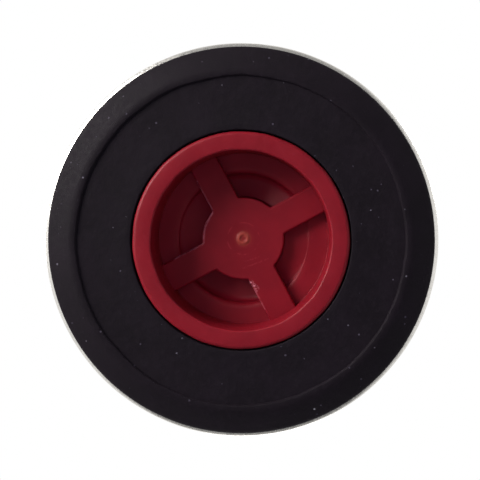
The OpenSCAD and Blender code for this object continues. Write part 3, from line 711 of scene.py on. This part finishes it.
def prism(name, outline, low_z, high_z):
    """A straight prism between two heights."""
    count = len(outline)
    points = [(x, y, low_z) for x, y in outline] + [(x, y, high_z) for x, y in outline]
    faces = [tuple(reversed(range(count))), tuple(range(count, 2 * count))]
    faces += [(i, (i + 1) % count, count + (i + 1) % count, count + i) for i in range(count)]
    return add_mesh(name, points, faces)


def shelf_depth(angle):
    """Share of the shelf's full depth at an angle round the axis, from SHELF_SHARES."""
    near, far, sides = SHELF_SHARES
    turn = angle - SHELF_NEAR
    ends = (near + far) / 4
    return ends + sides / 2 + (near - far) / 2 * math.cos(turn) + (ends - sides / 2) * math.cos(2 * turn)


def make_guide():
    """Red guide: tube, hub with spokes, the spokes' feet, the stem's boss and the gate mark."""
    def warp(r, z, angle):
        """Roughens the face ring a little, and slopes the shelf in the throat."""
        if z < SPOKE_Z:
            r += wobble(angle, 0, 0.04, 6, 2.0)
            z += wobble(angle, r, 0.02, 5, 6.0) + 0.01
        if r < THROAT_LIP_R + THROAT_ROUND + 0.01 and THROAT_Z - 0.01 < z < SHELF_Z + 0.2:
            z = THROAT_Z + (z - THROAT_Z) * shelf_depth(angle)
        return r, z

    tube = lathe("guide_tube", tube_outline(), 384, warp)
    star = prism("guide_star", star_outline(MOUTH_R + 0.3), SPOKE_Z, SPOKE_Z + SPOKE_T)
    bevel(star, SPOKE_ROUND, 5)
    half_z = SPOKE_Z + SPOKE_T / 2
    feet = [prism("guide_foot", foot_outline(spoke), half_z, THROAT_Z + 0.2) for spoke in range(SPOKES)]
    boss_high = GUIDE_HIGH.z - 0.4
    boss = lathe("guide_boss", [
        (BORE_R, BORE_Z), (BORE_R, boss_high), (BOSS_R, boss_high), (BOSS_R, half_z),
        (CENTRE_R, half_z), (CENTRE_R, BORE_Z),
    ], 96)
    gate = lathe("guide_gate", [
        (CENTRE_R, SPOKE_Z + 0.05), (CENTRE_R, SPOKE_Z - 0.01), (0.16, SPOKE_Z - 0.02),
        *arc(GATE_R * 0.62, SPOKE_Z + 0.1, 0.2, 215, 325, 8),
        (GATE_R, SPOKE_Z - 0.01), (GATE_R * 1.1, SPOKE_Z + 0.05),
    ], 48, sharp_deg=80)
    piece = join("guide_moulding", [tube, star, boss, gate, *feet])
    piece.data.materials.append(red_moulding())
    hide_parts("inlet_guide")
    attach(piece, BODY)


def make_spring(material):
    """The lever's spring: a wire coil whose lower leg leaves the coil at an angle set by the lever's upper
    limit.
    """
    def on_coil(angle, y):
        return Vector((PIVOT.x + COIL_R * math.cos(angle), y, PIVOT.z + COIL_R * math.sin(angle)))

    def along(angle):
        return Vector((-math.sin(angle), 0, math.cos(angle)))

    steps = 32 * COIL_TURNS
    turned = [on_coil(COIL_START + 2 * math.pi * COIL_TURNS * i / steps,
                      COIL_Y0 + (COIL_Y1 - COIL_Y0) * i / steps) for i in range(steps + 1)]
    last = [on_coil(COIL_START + (COIL_END - COIL_START) * i / 6, COIL_Y1) for i in range(1, 7)]
    shares = [0, WIRE_TIP / LOWER_LEG] + [i / 40 for i in range(1, 40)]
    lower = [turned[0] - along(COIL_START) * LOWER_LEG * (1 - share) for share in shares]
    upper = [last[-1] + along(COIL_END) * reach for reach in (UPPER_LEG / 2, UPPER_LEG - WIRE_TIP, UPPER_LEG)]
    piece = wire("spring_wire", lower + turned + last + upper, WIRE_R)
    piece.data.materials.append(material)
    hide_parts("lever_spring")
    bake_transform(piece)


# ---------------------------------------------------------------- stage, camera and light

def view_axes():
    """The main picture's right, up and towards-the-camera directions in the frame."""
    right = Vector((math.cos(CAMERA_ROLL), math.sin(CAMERA_ROLL), 0))
    up = Vector((math.cos(CAMERA_ROLL - math.pi / 2), math.sin(CAMERA_ROLL - math.pi / 2), 0))
    return right, up, Vector((0, 0, -1))


RIGHT, UP, TOWARDS = view_axes()
# the key lamp's side: upper left in the main picture, 150 degrees from its right
KEY_SIDE = (UP - RIGHT * 3 ** 0.5) / 2
KEY_OUT = 262
KEY_DOWN = 146
AMBIENT = 0.28
# brightness of the reflection card: from the side away from the key to the key's side, and what its
# lower and upper ends add
CARD_STOPS = ((-1, 0.02), (1, 0.04))
CARD_END_STOPS = ((-1, 0.22), (-0.75, 0.16), (-0.55, 0), (0.55, 0), (0.7, 0.28), (1, 0.4))
# the card's size in metres: it widens towards both ends
CARD_DOWN, CARD_HALF_WIDTH, CARD_END_HALF_WIDTH, CARD_HALF_LENGTH = 0.4, 0.55, 3.05, 8.0
# the floor in metres: it fades into a backdrop of one brightness
FLOOR_HALF = 3.0
FLOOR_Z = -0.00002
FLOOR_GREY = 0.86
FLOOR_FADE = (0.1, 0.6)
BACKDROP = 0.8
# how far past the can the floor is open, in millimetres: for all rays, and for the can's lip alone
FLOOR_OPEN = 1.2
LIP_OPEN = 16
# where a ray from the lip counts as started, just inside the can's inner wall
LIP_START_R = CAN_IN_R - 0.4


def aim(thing, target):
    """Turns a lamp to look at a point in metres."""
    back = (thing.location - Vector(target)).normalized()
    side = Vector((0, 0, 1)).cross(back)
    if side.length < 1e-6:
        side = Vector((1, 0, 0))
    side.normalize()
    turn = Matrix((side, back.cross(side), back)).transposed().to_4x4()
    thing.matrix_world = Matrix.Translation(thing.location) @ turn


def add_camera():
    """The main camera, straight below the inlet."""
    data = bpy.data.cameras.new("camera")
    data.sensor_fit = "HORIZONTAL"
    data.angle = 2 * math.atan(FRAME_WIDTH / 2 / FACE_DISTANCE)
    data.shift_x = -(CAMERA_RIGHT + AXIS_RIGHT) / FRAME_WIDTH
    data.shift_y = -(CAMERA_UP + AXIS_UP) / FRAME_WIDTH
    data.clip_start = 0.001
    data.clip_end = 10
    camera = bpy.data.objects.new("camera", data)
    bpy.context.scene.collection.objects.link(camera)
    place = (RIGHT * CAMERA_RIGHT + UP * CAMERA_UP + TOWARDS * FACE_DISTANCE) * MM
    camera.matrix_world = Matrix.Translation(place) @ Matrix((RIGHT, UP, TOWARDS)).transposed().to_4x4()
    bpy.context.scene.camera = camera


def add_lamp(name, place_mm, target_mm, size_mm, power, color=(1, 1, 1), glossy=True):
    """A round area lamp. Reflections don't see it where glossy is False."""
    data = bpy.data.lights.new(name, "AREA")
    data.shape = "DISK"
    data.size = size_mm * MM
    data.energy = power
    data.color = color
    lamp = bpy.data.objects.new(name, data)
    bpy.context.scene.collection.objects.link(lamp)
    lamp.location = Vector(place_mm) * MM
    lamp.visible_glossy = glossy
    aim(lamp, Vector(target_mm) * MM)


def add_sheet(name, corners, faces):
    """A flat stage piece, with the nodes of its new material."""
    mesh = bpy.data.meshes.new(name)
    mesh.from_pydata(corners, [], faces)
    sheet = bpy.data.objects.new(name, mesh)
    bpy.context.scene.collection.objects.link(sheet)
    material = bpy.data.materials.new(name)
    material.use_nodes = True
    mesh.materials.append(material)
    return sheet, Nodes(material.node_tree)


def add_floor():
    """A pale floor that is seen from above only, so the camera below can look past it.

    Far from the vent it fades into an evenly pale backdrop. Under the vent it also lets through what lights
    the vent's underside, and farther out what the can's lip reflects.
    """
    signs = ((-1, -1), (1, -1), (1, 1), (-1, 1))
    corners = [(FLOOR_HALF * x, FLOOR_HALF * y, FLOOR_Z) for x, y in signs]
    floor, nodes = add_sheet("floor", corners, [(0, 1, 2, 3)])
    pale = nodes.tree.nodes["Principled BSDF"]
    pale.inputs["Base Color"].default_value = (FLOOR_GREY, FLOOR_GREY, FLOOR_GREY, 1)
    pale.inputs["Roughness"].default_value = 0.7
    backdrop = nodes.node("ShaderNodeEmission")
    backdrop.inputs["Color"].default_value = (BACKDROP, BACKDROP, BACKDROP, 1)
    clear = nodes.node("ShaderNodeBsdfTransparent")
    side = nodes.node("ShaderNodeNewGeometry")
    path = nodes.node("ShaderNodeLightPath")
    away = nodes.vector("LENGTH", side.outputs["Position"])

    under = nodes.math("LESS_THAN", away, (CAN_R + FLOOR_OPEN) * MM)
    near_lip = nodes.math("LESS_THAN", away, (CAN_R + LIP_OPEN) * MM)
    # a grazing ray from the lip is hardly longer than its way out along the floor
    way_out = nodes.math("SUBTRACT", away, LIP_START_R * MM)
    from_lip = nodes.math("MULTIPLY", near_lip, nodes.math("LESS_THAN", path.outputs["Ray Length"], way_out))
    unseen = nodes.math("SUBTRACT", 1.0, path.outputs["Is Camera Ray"])
    opening = nodes.math("MULTIPLY", nodes.math("MAXIMUM", under, from_lip), unseen)

    looked_at = nodes.math("MAXIMUM", path.outputs["Is Camera Ray"], path.outputs["Is Glossy Ray"])
    fade = nodes.math("MULTIPLY", nodes.range(away, *FLOOR_FADE), looked_at)
    solid = nodes.mix_shaders(fade, pale.outputs[0], backdrop.outputs[0])
    see_through = nodes.math("MAXIMUM", side.outputs["Backfacing"], opening)
    nodes.link(nodes.mix_shaders(see_through, solid, clear.outputs[0]),
               nodes.tree.nodes["Material Output"].inputs[0])


def add_world():
    """A white background, also in reflections, and a soft grey ambient light."""
    world = bpy.data.worlds.new("studio")
    bpy.context.scene.world = world
    world.use_nodes = True
    nodes = Nodes(world.node_tree)
    path = nodes.node("ShaderNodeLightPath")
    seen = (AMBIENT, AMBIENT, AMBIENT * 1.02)
    for ray in ("Is Transmission Ray", "Is Glossy Ray", "Is Camera Ray"):
        seen = nodes.mix(path.outputs[ray], seen, (1, 1, 1))
    nodes.link(seen, nodes.tree.nodes["Background"].inputs["Color"])


def add_card():
    """A dark card far under the vent, with grey ends, which only reflections see."""
    rim = ((-CARD_END_HALF_WIDTH, -1), (CARD_END_HALF_WIDTH, -1), (CARD_HALF_WIDTH, 0),
           (CARD_END_HALF_WIDTH, 1), (-CARD_END_HALF_WIDTH, 1), (-CARD_HALF_WIDTH, 0))
    corners = [RIGHT * right + UP * CARD_HALF_LENGTH * up + TOWARDS * CARD_DOWN for right, up in rim]
    card, nodes = add_sheet("card", corners, [(0, 1, 2, 5), (5, 2, 3, 4)])
    card.visible_camera = card.visible_diffuse = card.visible_transmission = card.visible_shadow = False
    nodes.tree.nodes.clear()
    way = nodes.vector("NORMALIZE", nodes.node("ShaderNodeNewGeometry").outputs["Position"])

    def graded(direction, stops):
        """A grey that runs through stops of (share of the way to the spot along a direction, brightness)."""
        along = nodes.vector("DOT_PRODUCT", way, direction)
        made = nodes.node("ShaderNodeValToRGB")
        nodes.link(nodes.range(along, -1, 1, smooth=False), made.inputs[0])
        ramp = made.color_ramp
        while len(ramp.elements) < len(stops):
            ramp.elements.new(0.5)
        for element, (spot, brightness) in zip(ramp.elements, stops):
            element.position = (spot + 1) / 2
            element.color = (brightness, brightness, brightness, 1)
        return made.outputs[0]

    glow = nodes.node("ShaderNodeEmission")
    grey = nodes.mix(1, graded(KEY_SIDE, CARD_STOPS), graded(UP, CARD_END_STOPS), blend="ADD")
    nodes.link(grey, glow.inputs["Color"])
    nodes.link(glow.outputs[0], nodes.node("ShaderNodeOutputMaterial").inputs[0])


# ---------------------------------------------------------------- the scene

bpy.context.scene.view_settings.view_transform = "Standard"
add_camera()
add_floor()
add_world()
add_card()
inlet, middle = (0, 0, 0), (0, 0, 35)
add_lamp("key_below", KEY_SIDE * KEY_OUT + TOWARDS * KEY_DOWN, inlet, 190, 1.24, (1.0, 0.98, 0.96))
add_lamp("front_below", TOWARDS * 300, inlet, 60, 0.09, (0.75, 0.92, 1.7), glossy=False)
add_lamp("key_above", (-220, -260, 330), middle, 180, 1.0, (1.0, 0.99, 0.97))
add_lamp("fill_above", (300, -120, 180), middle, 220, 0.4)
add_lamp("rim_above", (60, 320, 240), middle, 200, 0.5)

make_can()
make_seal()
make_guide()

dress(turned_nickel(), "cover")
dress(sheet_steel("zinc_plate", srgb(186, 188, 190), 0.34), "support_plate")
spring_steel = sheet_steel("spring_steel", srgb(120, 119, 120), 0.36)
dress(spring_steel, "guide_circlip", "pin_clip")
make_spring(spring_steel)
dress(sheet_steel("stainless", srgb(190, 189, 186), 0.27),
      "float_stem", "link_pin", "lever_pin", "lever_bracket", "bracket_screws")
dress(turned_brass(), "valve_seat")
dress(moulded_plastic("float_plastic", srgb(176, 56, 72), srgb(166, 52, 66), 0.5),
      "float_shell", "float_base")
dress(moulded_plastic("ivory_plastic", srgb(222, 214, 194), srgb(206, 197, 174), 0.4), "valve_lever")
dress(soft_rubber(), "valve_pad", "seat_o_ring", "cover_o_ring", "cap_washer")
dress(moulded_plastic("black_plastic", srgb(30, 30, 32), srgb(24, 24, 25), 0.4), "vent_cap")
